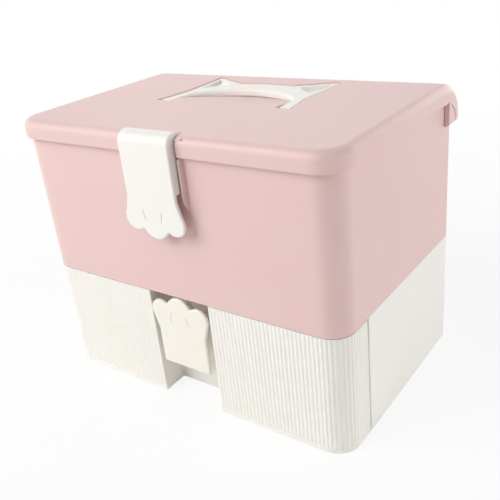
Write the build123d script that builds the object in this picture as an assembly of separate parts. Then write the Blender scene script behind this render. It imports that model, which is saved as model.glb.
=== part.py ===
from build123d import *
import os
from math import cos, pi, sin

os.makedirs("parts", exist_ok=True)

# Makeup storage case: a ribbed drawer storey, a trunk above it, a hinged lid with a folding
# handle and a paw-shaped latch, and two trays that rise with the lid. Millimetres, +Z up.
# The origin is on the ground under the middle of the body. -Y is the front.

# Body
CASE_WIDTH = 320.0
CASE_DEPTH = 206.4
CASE_HEIGHT = 255.0
SPLIT_HEIGHT = 110.0
WALL = 2.4
FLOOR = 2.4
FRONT_RADIUS = 20.0
BACK_RADIUS = 3.0
BACK_INSIDE_RADIUS = 2.6
INSIDE_FILLET = 1.8

# Clearances, and how far a fused piece sinks into its neighbour or a cutter runs past a face
FACE_GAP = 0.3
TURN_GAP = 0.05
SEAT_GAP = 0.02
SLIDE_GAP = 0.4
SINK = 0.5
PAST = 1.0

# Lid
LID_OVERHANG = 4.45
LID_BACK_OVERHANG = 12.3
LID_WALL = 2.4
LID_PLATE = 2.6
LID_SKIRT = 16.8
LID_EAR_DROP = 36.8
LID_EAR_LENGTH = 27.5
LID_EAR_FILLET = 3.0
LID_BACK_ROUND = 31.5
LID_CORNER_RADIUS = 24.0
LID_TOP_FILLET = 7.5
LID_HEM_FILLET = 2.0
LID_INSIDE_FILLET = 2.5
EAR_SLOT_RADIUS = 19.8
EAR_SLOT_WIDTH = 1.2
EAR_SLOT_START = 8.0
EAR_SLOT_SWEEP = 55.0

# Lid hinge
HINGE_BACK = 7.2
HINGE_DROP = 31.0
KNUCKLE_RADIUS = 4.5
HINGE_PIN_RADIUS = 1.5
HINGE_PITCH = 200.0
CASE_KNUCKLE = 10.0
LID_KNUCKLE = 26.0
KNUCKLE_GAP = 0.4

# Latch on the lid and the bracket that it snaps over
LATCH_WIDTH = 52.0
LATCH_LENGTH = 85.7
LATCH_PROUD = 11.1
LATCH_PLATE = 2.6
LATCH_SIDE_WALL = 2.6
LATCH_SIDE_TAPER = 1.5
LATCH_HEAD_ROUND = 9.0
LATCH_BARREL_RADIUS = 6.8
LATCH_PIN_RADIUS = 1.5
LATCH_PIVOT_IN = 0.3
LATCH_PIVOT_DROP = 4.6
LATCH_STRAP_DROP = 45.0
LATCH_NOTCH_GAP = 1.9
LATCH_CHEEK = 6.0
LATCH_CHEEK_DEPTH = 9.0
HOOK_INSET = 6.0
HOOK_THICKNESS = 2.4
KEEPER_DROP = 44.0
KEEPER_REACH = 3.8
KEEPER_THICKNESS = 4.0
BRACKET_REACH = 4.2
BRACKET_RIB = 2.4
BRACKET_GAP = 1.3
BRACKET_SHOULDER_DROP = 8.0
BRACKET_FOOT_DROP = 19.0

# Paw outline shared by the latch and the drawer pull
SIDE_TOE_RADIUS = 10.8
SIDE_TOE_OUT = 20.8
MIDDLE_TOE_RADIUS = 14.4
MIDDLE_TOE_AHEAD = 1.8
PAW_FLARE = 19.0
TOE_VALLEY_FILLET = 2.0
PAW_EDGE_FILLET = 1.6
CLAW_LENGTH = 9.0
CLAW_WIDTH = 1.4
CLAW_DEPTH = 0.3
CLAW_BOW = 0.6
CLAW_OUT = 8.8
CLAW_BACK = 4.2
CLAW_TILT = 14.0

# Folding handle with a cat-ear outline, its places counted forward from the ears' tips
HANDLE_THICKNESS = 8.0
HANDLE_SINK = 0.3
HANDLE_SETBACK = 34.5
HANDLE_LENGTH = 95.0
LEG_FOOT_HALF = 72.0
LEG_INSIDE_HALF = 58.0
WAIST_HALF = 66.0
WAIST_AHEAD = 61.0
WAIST_FILLET = 90.0
EAR_TIP_HALF = 69.5
EAR_TIP_FILLET = 4.0
EAR_BASE_HALF = 29.5
EAR_HEIGHT = 21.0
ARCH_AHEAD = 18.0
ARCH_BAR = 22.0
ARCH_RISE = 27.0
ARCH_SPRING_HALF = 56.0
ARCH_SPRING_FILLET = 6.0
HANDLE_EDGE_FILLET = 2.6
EAR_POCKET_DEPTH = 3.0
EAR_POCKET_FILLET = 2.0
HANDLE_PIN_RADIUS = 1.75
HANDLE_PIN_BITE = 9.0
POCKET_GAP = 1.0
POCKET_DEPTH = 9.3
POCKET_WALL = 2.2
SCOOP_DEPTH = 7.5
SCOOP_LEAD = 6.0

# Corners of the sunk triangle in each ear of the handle: in from the tip, ahead of the tip
EAR_POCKET_CORNERS = ((5.0, 9.0), (31.0, 26.5), (9.5, 46.0))

# Lower housing
HOUSING_TONGUE = 10.0
FLANGE_WIDTH = 14.0
FLANGE_THICKNESS = 2.4
BOSS_RADIUS = 4.0
BOSS_DROP = 7.0
SCREW_RADIUS = 1.5
SCREW_HEAD_RADIUS = 3.2
SCREW_HEAD_HEIGHT = 2.0
SCREW_LENGTH = 9.0
SCREW_INSET = 9.0
RUNNER_HEIGHT = 1.0
RUNNER_WIDTH = 5.0
RUNNER_PITCH = 220.0
GUIDE_HEIGHT = 60.0
GUIDE_WIDTH = 5.0
GUIDE_REACH = 1.4
GUIDE_SETBACK = 2.0

# Drawer
DRAWER_GROUND_GAP = 0.8
DRAWER_TOP_GAP = 0.8
DRAWER_WALL = 3.0
DRAWER_WRAP = 39.8
SEAM_GAP = 1.3
SEAM_SLANT = 1.4
RIB_PITCH = 3.8
RIB_DEPTH = 0.6
PLAIN_BAND = 4.4
RECESS_SIDE_GAP = 1.4
RECESS_DEPTH = 25.2
RECESS_WALL = 2.4
TUB_WALL = 2.2
TUB_BACK_RADIUS = 5.0
TUB_TOP_GAP = 1.1
TUB_BACK_GAP = 4.0
TUB_PARTITION = 1.8
TUB_SPLIT_X = 60.0
TUB_SPLIT_Y = 10.0

# Drawer pull
PULL_PLATE = 2.8
PULL_PROUD = 1.5
PULL_BOTTOM = 38.0
PULL_TOE_GAP = 0.7
PULL_WRIST_WIDTH = 53.0
PULL_POST_RADIUS = 5.0
PULL_POST_PITCH = 27.0
PULL_POST_DROP = 24.5

# Trays and their linkage
TRAY_WALL = 2.0
TRAY_CORNER_RADIUS = 10.0
TRAY_PARTITION = 1.6
TRAY_FRONT_GAP = 8.8
TRAY_SIDE_GAP = 9.6
TRAY_LID_GAP = 4.5
TRAY_STACK_GAP = 5.0
UPPER_TRAY_DEPTH = 34.0
LOWER_TRAY_DEPTH = 35.0
UPPER_TRAY_BEHIND = 7.6
LOWER_TRAY_AHEAD = 16.4
TRAY_EAR = 2.8
EAR_FOOT_DROP = 22.0
LINK_THICKNESS = 2.5
LINK_HALF_HEIGHT = 5.0
LINK_STEP = 48.0
ARM_SETBACK = 12.0
ARM_DROP = 12.0
PIVOT_PIN_RADIUS = 2.0
PIVOT_HEAD_RADIUS = 3.6
PIVOT_HEAD = 1.4
LINK_FOOT_AHEAD = 32.4
LINK_FOOT_LENGTH = 36.0
LINK_FOOT_WIDTH = 14.0
LINK_FOOT_THICKNESS = 2.2
LINK_PAD_HEIGHT = 5.0

# Places that follow from the sizes above
HALF_WIDTH = CASE_WIDTH / 2
FRONT = -CASE_DEPTH / 2
BACK = CASE_DEPTH / 2
LID_INSIDE_TOP = CASE_HEIGHT - LID_PLATE
RIM_HEIGHT = LID_INSIDE_TOP - FACE_GAP
LID_HALF_WIDTH = HALF_WIDTH + LID_OVERHANG
LID_FRONT = FRONT - LID_OVERHANG
LID_BACK = BACK + LID_BACK_OVERHANG
HEM_HEIGHT = CASE_HEIGHT - LID_SKIRT
EAR_BOTTOM = CASE_HEIGHT - LID_EAR_DROP
EAR_FRONT = LID_BACK - LID_EAR_LENGTH
HINGE_Y = BACK + HINGE_BACK
HINGE_HEIGHT = CASE_HEIGHT - HINGE_DROP
LATCH_FACE = FRONT - LATCH_PROUD
LATCH_PIVOT_Y = FRONT - LATCH_PIVOT_IN
LATCH_PIVOT_Z = CASE_HEIGHT - LATCH_PIVOT_DROP
LATCH_STRAP_END = CASE_HEIGHT - LATCH_STRAP_DROP
LATCH_TOE_TIP = CASE_HEIGHT - LATCH_LENGTH
NOTCH_HALF = LATCH_WIDTH / 2 + LATCH_NOTCH_GAP
NOTCH_BACK = LATCH_PIVOT_Y + LATCH_BARREL_RADIUS + 2 * SLIDE_GAP
CHEEK_BOTTOM = LID_INSIDE_TOP - LATCH_CHEEK_DEPTH
KEEPER_BOTTOM = CASE_HEIGHT - KEEPER_DROP
BRACKET_INSIDE = LATCH_WIDTH / 2 + BRACKET_GAP
BRACKET_TOP = HEM_HEIGHT - 2 * FACE_GAP
EAR_TIP_Y = LID_BACK - HANDLE_SETBACK
EAR_BASE_Y = EAR_TIP_Y - EAR_HEIGHT
WAIST_Y = EAR_TIP_Y - WAIST_AHEAD
ARCH_TOP_Y = EAR_TIP_Y - ARCH_AHEAD
ARCH_INSIDE_Y = ARCH_TOP_Y - ARCH_BAR
ARCH_SPRING_Y = ARCH_INSIDE_Y - ARCH_RISE
HANDLE_FRONT = EAR_TIP_Y - HANDLE_LENGTH
SCOOP_FRONT = HANDLE_FRONT + SCOOP_LEAD
HANDLE_TOP = CASE_HEIGHT - HANDLE_SINK
HANDLE_BOTTOM = HANDLE_TOP - HANDLE_THICKNESS
HANDLE_PIVOT = (HANDLE_FRONT + HANDLE_THICKNESS / 2, HANDLE_TOP - HANDLE_THICKNESS / 2)
HANDLE_PIN_OUTSIDE = LEG_FOOT_HALF + POCKET_GAP + POCKET_WALL
HANDLE_PIN_INSIDE = LEG_FOOT_HALF + POCKET_GAP - HANDLE_PIN_BITE
POCKET_BOTTOM = CASE_HEIGHT - POCKET_DEPTH - POCKET_WALL
DRAWER_TOP = SPLIT_HEIGHT - DRAWER_TOP_GAP
DRAWER_LEG_END = FRONT + DRAWER_WRAP
SEAM_Y = DRAWER_LEG_END + SEAM_GAP
SIDE_RUN = DRAWER_WRAP - FRONT_RADIUS
CORNER_RUN = FRONT_RADIUS * pi / 2
RECESS_HALF = SIDE_TOE_OUT + SIDE_TOE_RADIUS + RECESS_SIDE_GAP
RECESS_BACK = FRONT + RECESS_DEPTH
PULL_FACE = FRONT - PULL_PROUD
PULL_TOE_TIP = DRAWER_TOP - PULL_TOE_GAP
PULL_POST_HEIGHT = PULL_TOE_TIP - PULL_POST_DROP
FLANGE_BOTTOM = SPLIT_HEIGHT - FLANGE_THICKNESS
FLANGE_HALF = HALF_WIDTH - DRAWER_WALL - RIB_DEPTH - SLIDE_GAP
FLANGE_FRONT = FRONT + DRAWER_WALL + RIB_DEPTH + SLIDE_GAP
TUB_BOTTOM = FLOOR + RUNNER_HEIGHT + FACE_GAP
TUB_TOP = FLANGE_BOTTOM - BOSS_DROP - TUB_TOP_GAP
TUB_HALF = HALF_WIDTH - WALL - GUIDE_REACH - SLIDE_GAP
TUB_FRONT = FRONT + DRAWER_WALL + SLIDE_GAP
TUB_BACK = BACK - WALL - TUB_BACK_GAP
TUB_NOTCH_HALF = RECESS_HALF + RECESS_WALL + SLIDE_GAP
TUB_NOTCH_BACK = RECESS_BACK + RECESS_WALL + SLIDE_GAP
TRAY_FRONT = FRONT + WALL + TRAY_FRONT_GAP
TRAY_HALF_WIDTH = HALF_WIDTH - WALL - TRAY_SIDE_GAP
UPPER_TRAY_HALF = TRAY_HALF_WIDTH - SLIDE_GAP
UPPER_TRAY_TOP = POCKET_BOTTOM - TRAY_LID_GAP
UPPER_TRAY_BOTTOM = UPPER_TRAY_TOP - UPPER_TRAY_DEPTH
LOWER_TRAY_TOP = UPPER_TRAY_BOTTOM - TRAY_STACK_GAP
LOWER_TRAY_BOTTOM = LOWER_TRAY_TOP - LOWER_TRAY_DEPTH
EAR_OUTSIDE = TRAY_HALF_WIDTH + TRAY_EAR
LINK_INSIDE = EAR_OUTSIDE + SLIDE_GAP
LINK_OUTSIDE = LINK_INSIDE + LINK_THICKNESS
LINK_FOOT_BACK = HINGE_Y - LINK_FOOT_AHEAD
LINK_FOOT_FRONT = LINK_FOOT_BACK - LINK_FOOT_LENGTH
LINK_FOOT_TOP = LID_INSIDE_TOP - LINK_PAD_HEIGHT
LINK_FOOT_BOTTOM = LINK_FOOT_TOP - LINK_FOOT_THICKNESS
LINK_SCREW_X = LINK_OUTSIDE - LINK_FOOT_WIDTH / 2
LINK_SCREW_PLACES = (LINK_FOOT_FRONT + LINK_FOOT_LENGTH / 4, LINK_FOOT_BACK - LINK_FOOT_LENGTH / 4)
CASE_SCREW_PLACES = [
    (side * (HALF_WIDTH - WALL - SCREW_INSET), y)
    for side in (-1, 1)
    for y in (SEAM_Y + SCREW_INSET, BACK - WALL - SCREW_INSET)
] + [(side * HALF_WIDTH / 2, FLANGE_FRONT + SCREW_INSET) for side in (-1, 1)]

# The linkage is a parallelogram, so both trays stay level. Pivots are (Y, Z) pairs: the hinge and
# the lid's two on one line, the case's and the arm's two on a parallel line below it.
HINGE = (HINGE_Y, HINGE_HEIGHT)
LID_PIVOTS = [(HINGE_Y - step * LINK_STEP, HINGE_HEIGHT) for step in (1, 2)]
ARM_PIVOT = (TRAY_FRONT + ARM_SETBACK + 2 * LINK_STEP, HINGE_HEIGHT - ARM_DROP)
ARM_ENDS = [(ARM_PIVOT[0] - step * LINK_STEP, ARM_PIVOT[1]) for step in (1, 2)]
UPPER_TRAY_BACK = LID_PIVOTS[1][0] + UPPER_TRAY_BEHIND
LOWER_TRAY_BACK = LID_PIVOTS[0][0] - LOWER_TRAY_AHEAD


def block(x_low, x_high, y_low, y_high, z_low, z_high):
    """A box between two corners."""
    middle = Pos((x_low + x_high) / 2, (y_low + y_high) / 2, (z_low + z_high) / 2)
    return middle * Box(x_high - x_low, y_high - y_low, z_high - z_low)


def slab_x(face, x_low, x_high):
    """A face drawn in (Y, Z), extruded from one X to another."""
    return extrude(Plane.YZ.offset(x_low) * face, x_high - x_low, dir=(1, 0, 0))


def slab_y(face, y_low, y_high):
    """A face drawn in (X, Z), extruded from one Y to another."""
    return extrude(Plane.XZ.offset(-y_low) * face, y_high - y_low, dir=(0, 1, 0))


def slab_z(face, z_low, z_high):
    """A face drawn in (X, Y), extruded from one Z to another."""
    return extrude(Pos(0, 0, z_low) * face, z_high - z_low, dir=(0, 0, 1))


def rod_x(centre, radius, x_low, x_high):
    """A round bar along X, its centre given as (Y, Z)."""
    return slab_x(Pos(*centre) * Circle(radius), x_low, x_high)


def rod_y(x, z, radius, y_low, y_high):
    """A round bar along Y."""
    return slab_y(Pos(x, z) * Circle(radius), y_low, y_high)


def rod_z(x, y, radius, z_low, z_high):
    """A round bar along Z."""
    return slab_z(Pos(x, y) * Circle(radius), z_low, z_high)


def both_sides(shape):
    """The shape and its mirror image across the middle of the case."""
    return shape + mirror(shape, about=Plane.YZ)


def plan(half_width, front, back, front_radius, back_radius):
    """The case seen from above, a rectangle with its own front and back corner radii."""
    face = Pos(0, (front + back) / 2) * Rectangle(2 * half_width, back - front)
    face = fillet(face.vertices().group_by(Axis.Y)[0], front_radius)
    return fillet(face.vertices().group_by(Axis.Y)[-1], back_radius)


def side_view(front, back, bottom, top, back_round):
    """The lid seen from the side, rounded down at the back, drawn in (Y, Z)."""
    face = Pos((front + back) / 2, (bottom + top) / 2) * Rectangle(back - front, top - bottom)
    corner = face.vertices().group_by(Axis.Y)[-1].sort_by(Axis.X)[-1]
    return fillet(corner, back_round)


def tub(outline, inside, bottom, top, floor):
    """An open box with a rounded inside floor edge."""
    cavity = slab_z(inside, bottom + floor, top + PAST)
    cavity = fillet(cavity.faces().sort_by(Axis.Z)[0].edges(), INSIDE_FILLET)
    return slab_z(outline, bottom, top) - cavity


def paw_outline(wrist_width, wrist_length):
    """Three round toes on a wrist, toes towards +Y, the side toes' centres at Y = 0."""
    wrist_half = wrist_width / 2
    widest = SIDE_TOE_OUT + SIDE_TOE_RADIUS
    wrist = Pos(0, -wrist_length / 2) * Rectangle(wrist_width, wrist_length)
    flare = Polygon(
        (-wrist_half, -PAW_FLARE), (wrist_half, -PAW_FLARE), (widest, 0), (-widest, 0), align=None
    )
    side_toes = both_sides(Pos(SIDE_TOE_OUT, 0) * Circle(SIDE_TOE_RADIUS))
    middle_toe = Pos(0, MIDDLE_TOE_AHEAD) * Circle(MIDDLE_TOE_RADIUS)
    paw = wrist + flare + side_toes + middle_toe
    valleys = paw.vertices().filter_by(
        lambda v: PAST < v.Y < SIDE_TOE_RADIUS and abs(v.X) < SIDE_TOE_OUT
    )
    paw = fillet(valleys, TOE_VALLEY_FILLET)
    shoulders = paw.vertices().filter_by(lambda v: abs(v.Y + PAW_FLARE) < 0.01)
    return fillet(shoulders, SIDE_TOE_RADIUS)


def claw_marks():
    """The two short bowed grooves between the toes, in the paw outline's own coordinates."""
    half = CLAW_LENGTH / 2
    bow = ThreePointArc((0, -half), (CLAW_BOW, 0), (0, half))
    return both_sides(Pos(CLAW_OUT, -CLAW_BACK) * Rot(0, 0, CLAW_TILT) * trace(bow, CLAW_WIDTH))


def handle_inside():
    """The hand opening: straight legs under a flat arch, open at the front."""
    spring = (ARCH_SPRING_HALF, ARCH_SPRING_Y)
    left_spring = (-ARCH_SPRING_HALF, ARCH_SPRING_Y)
    face = make_face([
        Line((LEG_INSIDE_HALF, HANDLE_FRONT), spring),
        ThreePointArc(spring, (0, ARCH_INSIDE_Y), left_spring),
        Line(left_spring, (-LEG_INSIDE_HALF, HANDLE_FRONT)),
        Line((-LEG_INSIDE_HALF, HANDLE_FRONT), (LEG_INSIDE_HALF, HANDLE_FRONT)),
    ])
    springs = face.vertices().filter_by(lambda v: abs(v.Y - ARCH_SPRING_Y) < 0.01)
    return fillet(springs, ARCH_SPRING_FILLET)


def handle_outline():
    """The cat-ear handle seen from above, legs towards the front."""
    face = make_face([
        Line((LEG_FOOT_HALF, HANDLE_FRONT), (WAIST_HALF, WAIST_Y)),
        Line((WAIST_HALF, WAIST_Y), (EAR_TIP_HALF, EAR_TIP_Y)),
        Line((EAR_TIP_HALF, EAR_TIP_Y), (EAR_BASE_HALF, EAR_BASE_Y)),
        ThreePointArc((EAR_BASE_HALF, EAR_BASE_Y), (0, ARCH_TOP_Y), (-EAR_BASE_HALF, EAR_BASE_Y)),
        Line((-EAR_BASE_HALF, EAR_BASE_Y), (-EAR_TIP_HALF, EAR_TIP_Y)),
        Line((-EAR_TIP_HALF, EAR_TIP_Y), (-WAIST_HALF, WAIST_Y)),
        Line((-WAIST_HALF, WAIST_Y), (-LEG_FOOT_HALF, HANDLE_FRONT)),
        Line((-LEG_FOOT_HALF, HANDLE_FRONT), (LEG_FOOT_HALF, HANDLE_FRONT)),
    ])
    tips = face.vertices().filter_by(lambda v: abs(v.Y - EAR_TIP_Y) < 0.01)
    face = fillet(tips, EAR_TIP_FILLET)
    waists = face.vertices().filter_by(lambda v: abs(v.Y - WAIST_Y) < 0.01)
    return fillet(waists, WAIST_FILLET) - handle_inside()


def ear_pocket():
    """The sunk triangle in the handle's right ear, seen from above."""
    corners = [(EAR_TIP_HALF - inward, EAR_TIP_Y - ahead) for inward, ahead in EAR_POCKET_CORNERS]
    return fillet(Polygon(*corners, align=None).vertices(), EAR_POCKET_FILLET)


def make_lower_housing():
    """The white sleeve around the drawer: floor, sides, back and the flange under the trunk."""
    wall_inside = HALF_WIDTH - WALL
    outline = plan(HALF_WIDTH, SEAM_Y, BACK, INSIDE_FILLET / 2, BACK_RADIUS)
    inside = plan(wall_inside, SEAM_Y - 2 * INSIDE_FILLET, BACK - WALL, INSIDE_FILLET, BACK_INSIDE_RADIUS)
    sleeve = slab_z(outline, 0, SPLIT_HEIGHT) - slab_z(inside, FLOOR, SPLIT_HEIGHT + PAST)
    tongue_front = max(SEAM_Y - HOUSING_TONGUE, RECESS_BACK + RECESS_WALL + SLIDE_GAP)
    sleeve += block(-FLANGE_HALF, FLANGE_HALF, tongue_front, SEAM_Y + PAST, 0, FLOOR)
    sleeve += housing_flange()
    runner = block(
        (RUNNER_PITCH - RUNNER_WIDTH) / 2,
        (RUNNER_PITCH + RUNNER_WIDTH) / 2,
        SEAM_Y,
        BACK - WALL - TUB_BACK_GAP,
        FLOOR - SINK,
        FLOOR + RUNNER_HEIGHT,
    )
    guide = block(
        wall_inside - GUIDE_REACH,
        wall_inside + PAST,
        SEAM_Y + GUIDE_SETBACK,
        BACK - WALL - GUIDE_SETBACK,
        GUIDE_HEIGHT,
        GUIDE_HEIGHT + GUIDE_WIDTH,
    )
    return sleeve + both_sides(runner) + both_sides(guide)


def housing_flange():
    """The inward flange that the trunk is screwed to, notched for the drawer's finger recess."""
    back = BACK - WALL
    outline = plan(FLANGE_HALF, FLANGE_FRONT, back + PAST, FRONT_RADIUS - WALL, BACK_INSIDE_RADIUS)
    corner = FRONT_RADIUS / 2
    outline -= plan(
        FLANGE_HALF - FLANGE_WIDTH, FLANGE_FRONT + FLANGE_WIDTH, back - FLANGE_WIDTH, corner, corner
    )
    flange = slab_z(outline, FLANGE_BOTTOM, SPLIT_HEIGHT)
    wall_strip = block(
        FLANGE_HALF - PAST, HALF_WIDTH - WALL / 2, SEAM_Y + PAST, back, FLANGE_BOTTOM, SPLIT_HEIGHT
    )
    flange += both_sides(wall_strip)
    boss_bottom = FLANGE_BOTTOM - BOSS_DROP
    for x, y in CASE_SCREW_PLACES:
        flange += rod_z(x, y, BOSS_RADIUS, boss_bottom, FLANGE_BOTTOM + PAST)
    for x, y in CASE_SCREW_PLACES:
        flange -= rod_z(x, y, SCREW_RADIUS + SEAT_GAP, boss_bottom + PAST, SPLIT_HEIGHT + PAST)
    notch_half = RECESS_HALF + RECESS_WALL + PAST
    notch_back = FLANGE_FRONT + FLANGE_WIDTH + PAST
    return flange - block(
        -notch_half, notch_half, FRONT, notch_back, FLANGE_BOTTOM - PAST, SPLIT_HEIGHT + PAST
    )


def make_upper_case():
    """The pink trunk: a shell with the latch bracket, the hinge knuckles and the arm bosses."""
    outline = plan(HALF_WIDTH, FRONT, BACK, FRONT_RADIUS, BACK_RADIUS)
    inside = plan(
        HALF_WIDTH - WALL, FRONT + WALL, BACK - WALL, FRONT_RADIUS - WALL, BACK_INSIDE_RADIUS
    )
    shell = tub(outline, inside, SPLIT_HEIGHT, RIM_HEIGHT, FLOOR)
    under_lid = side_view(
        FRONT - PAST,
        LID_BACK - LID_WALL - FACE_GAP,
        SPLIT_HEIGHT - PAST,
        RIM_HEIGHT,
        LID_BACK_ROUND - LID_PLATE - FACE_GAP,
    )
    shell = shell & slab_x(under_lid, -HALF_WIDTH - PAST, HALF_WIDTH + PAST)
    relief_half = NOTCH_HALF + LATCH_CHEEK + SLIDE_GAP
    shell -= block(
        -relief_half, relief_half, FRONT - PAST, FRONT + WALL + PAST, CHEEK_BOTTOM - PAST, CASE_HEIGHT
    )
    shell += latch_bracket() + both_sides(case_knuckles()) + both_sides(arm_boss())
    for x, y in CASE_SCREW_PLACES:
        shell -= rod_z(x, y, SCREW_RADIUS + FACE_GAP, SPLIT_HEIGHT - PAST, SPLIT_HEIGHT + FLOOR + PAST)
    return shell


def latch_bracket():
    """Two upright ribs on the front wall, and the keeper bar between them for the latch's hook."""
    reach = FRONT - BRACKET_REACH
    rib = Polygon(
        (FRONT + PAST, BRACKET_TOP),
        (reach + PAST, BRACKET_TOP),
        (reach, BRACKET_TOP - PAST),
        (reach, KEEPER_BOTTOM - BRACKET_SHOULDER_DROP),
        (FRONT + PAST, KEEPER_BOTTOM - BRACKET_FOOT_DROP),
        align=None,
    )
    ribs = both_sides(slab_x(rib, BRACKET_INSIDE, BRACKET_INSIDE + BRACKET_RIB))
    keeper_half = LATCH_WIDTH / 2 - LATCH_SIDE_WALL - 2 * FACE_GAP
    keeper = block(
        -keeper_half,
        keeper_half,
        FRONT - KEEPER_REACH,
        FRONT + PAST,
        KEEPER_BOTTOM,
        KEEPER_BOTTOM + KEEPER_THICKNESS,
    )
    return ribs + keeper


def case_knuckles():
    """The two fixed knuckles of the right hinge, each on a web from the back wall."""
    middle = HINGE_PITCH / 2
    inner = LID_KNUCKLE / 2 + KNUCKLE_GAP
    root = BACK - PAST
    web = Pos((root + HINGE_Y) / 2, HINGE_HEIGHT) * Rectangle(HINGE_Y - root, 2 * KNUCKLE_RADIUS)
    body = web + Pos(*HINGE) * Circle(KNUCKLE_RADIUS) - Pos(*HINGE) * Circle(HINGE_PIN_RADIUS + SEAT_GAP)
    knuckles = Part()
    for x_low in (middle - inner - CASE_KNUCKLE, middle + inner):
        knuckles += slab_x(body, x_low, x_low + CASE_KNUCKLE)
    return knuckles


def arm_boss():
    """The boss on the right wall that carries one front arm."""
    inside = LINK_OUTSIDE + SLIDE_GAP
    boss = rod_x(ARM_PIVOT, LINK_HALF_HEIGHT, inside, HALF_WIDTH - WALL / 2)
    return boss - rod_x(ARM_PIVOT, PIVOT_PIN_RADIUS + SEAT_GAP, inside - PAST, HALF_WIDTH - WALL)


def make_case_screws():
    """Six screws that hold the trunk on the housing's flange."""
    seat = SPLIT_HEIGHT + FLOOR
    screws = Part()
    for x, y in CASE_SCREW_PLACES:
        screws += rod_z(x, y, SCREW_HEAD_RADIUS, seat, seat + SCREW_HEAD_HEIGHT)
        screws += rod_z(x, y, SCREW_RADIUS, seat - SCREW_LENGTH, seat)
    return screws


def make_hinge_pins():
    """The steel pins of the two lid hinges."""
    middle = HINGE_PITCH / 2
    reach = LID_KNUCKLE / 2 + KNUCKLE_GAP + CASE_KNUCKLE
    return both_sides(rod_x(HINGE, HINGE_PIN_RADIUS, middle - reach, middle + reach))


def make_arm_pins():
    """The two pins that carry the front arms on the case, their heads sunk flush in the arms."""
    shank = LINK_INSIDE + PIVOT_HEAD
    pin = rod_x(ARM_PIVOT, PIVOT_PIN_RADIUS, shank, HALF_WIDTH - WALL - FACE_GAP)
    pin += rod_x(ARM_PIVOT, PIVOT_HEAD_RADIUS, LINK_INSIDE, shank)
    return both_sides(pin)


def rolled_box(half_width, front, back, bottom, top, front_radius, back_round, edge_fillet):
    """The lid's pillow form: round front corners, rolled down at the back, soft along the top."""
    outline = Pos(0, (front + back) / 2) * Rectangle(2 * half_width, back - front)
    outline = fillet(outline.vertices().group_by(Axis.Y)[0], front_radius)
    rolled = side_view(front - PAST, back, bottom, top, back_round)
    solid = slab_z(outline, bottom, top) & slab_x(rolled, -half_width - PAST, half_width + PAST)
    roll_start = back - back_round
    top_edges = solid.edges().filter_by(
        lambda e: abs(e.center().Z - top) < 0.01 and e.center().Y < roll_start - PAST
    )
    roll_edges = solid.edges().filter_by(GeomType.CIRCLE)
    roll_edges = roll_edges.filter_by(lambda e: abs(abs(e.center().X) - half_width) < 0.01)
    return fillet(top_edges + roll_edges, edge_fillet)


def lid_shell():
    """The lid's skin: the pillow form, its hem, the deeper closed ears at the back, the cavity."""
    shell = rolled_box(
        LID_HALF_WIDTH,
        LID_FRONT,
        LID_BACK,
        EAR_BOTTOM,
        CASE_HEIGHT,
        LID_CORNER_RADIUS,
        LID_BACK_ROUND,
        LID_TOP_FILLET,
    )
    side = LID_HALF_WIDTH + PAST
    shell -= block(-side, side, LID_FRONT - PAST, EAR_FRONT, EAR_BOTTOM - PAST, HEM_HEIGHT)
    hem = shell.edges().filter_by(
        lambda e: abs(e.center().Z - HEM_HEIGHT) < 0.01 and e.center().Y < EAR_FRONT - PAST
    )
    shell = fillet(hem, LID_HEM_FILLET)
    foot = shell.edges().filter_by(
        lambda e: abs(e.center().Z - EAR_BOTTOM) < 0.01 and e.center().Y > EAR_FRONT + PAST
    )
    shell = fillet(foot, LID_EAR_FILLET)
    cavity = rolled_box(
        LID_HALF_WIDTH - LID_WALL,
        LID_FRONT + LID_WALL,
        LID_BACK - LID_WALL,
        EAR_BOTTOM - PAST,
        LID_INSIDE_TOP,
        LID_CORNER_RADIUS - LID_WALL,
        LID_BACK_ROUND - LID_PLATE,
        LID_INSIDE_FILLET,
    )
    ear_web = block(
        HALF_WIDTH + FACE_GAP, side, EAR_FRONT - PAST, EAR_FRONT + LID_WALL, EAR_BOTTOM - 2 * PAST, HEM_HEIGHT
    )
    return shell - (cavity - both_sides(ear_web))


def latch_cheek():
    """The right one of the two lugs beside the notch that hold the latch's pin."""
    outside = NOTCH_HALF + LATCH_CHEEK
    cheek = block(
        NOTCH_HALF, outside, LID_FRONT + LID_WALL / 2, NOTCH_BACK, CHEEK_BOTTOM, LID_INSIDE_TOP + PAST
    )
    pivot = (LATCH_PIVOT_Y, LATCH_PIVOT_Z)
    return cheek - rod_x(pivot, LATCH_PIN_RADIUS + SEAT_GAP, 0, outside - PAST)


def with_hinges(lid):
    """The lid with clearance cut for the case's knuckles and its own two knuckles added."""
    middle = HINGE_PITCH / 2
    inner = LID_KNUCKLE / 2
    sweep = KNUCKLE_RADIUS + KNUCKLE_GAP
    cut = 2 * KNUCKLE_GAP + CASE_KNUCKLE
    for x_low in (middle - inner - cut, middle + inner):
        x_high = x_low + cut
        gap = rod_x(HINGE, sweep, x_low, x_high)
        gap += block(x_low, x_high, BACK, LID_BACK + PAST, EAR_BOTTOM - PAST, HINGE_HEIGHT + sweep)
        lid -= both_sides(gap)
    lid += both_sides(rod_x(HINGE, KNUCKLE_RADIUS, middle - inner, middle + inner))
    bore = rod_x(HINGE, HINGE_PIN_RADIUS + TURN_GAP, middle - inner - PAST, middle + inner + PAST)
    return lid - both_sides(bore)


def finger_ramp(wall):
    """The sloping hollow inside the arch, or its underside when a wall is given."""
    deep = CASE_HEIGHT - SCOOP_DEPTH - wall
    shallow = SCOOP_FRONT - 2 * wall
    back = ARCH_INSIDE_Y + wall
    above = CASE_HEIGHT + PAST
    ramp = Polygon(
        (shallow, CASE_HEIGHT - wall / 2), (back, deep), (back, above), (shallow, above), align=None
    )
    opening = slab_z(offset(handle_inside(), wall), deep - PAST, above)
    return opening & slab_x(ramp, -LEG_FOOT_HALF, LEG_FOOT_HALF)


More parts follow.
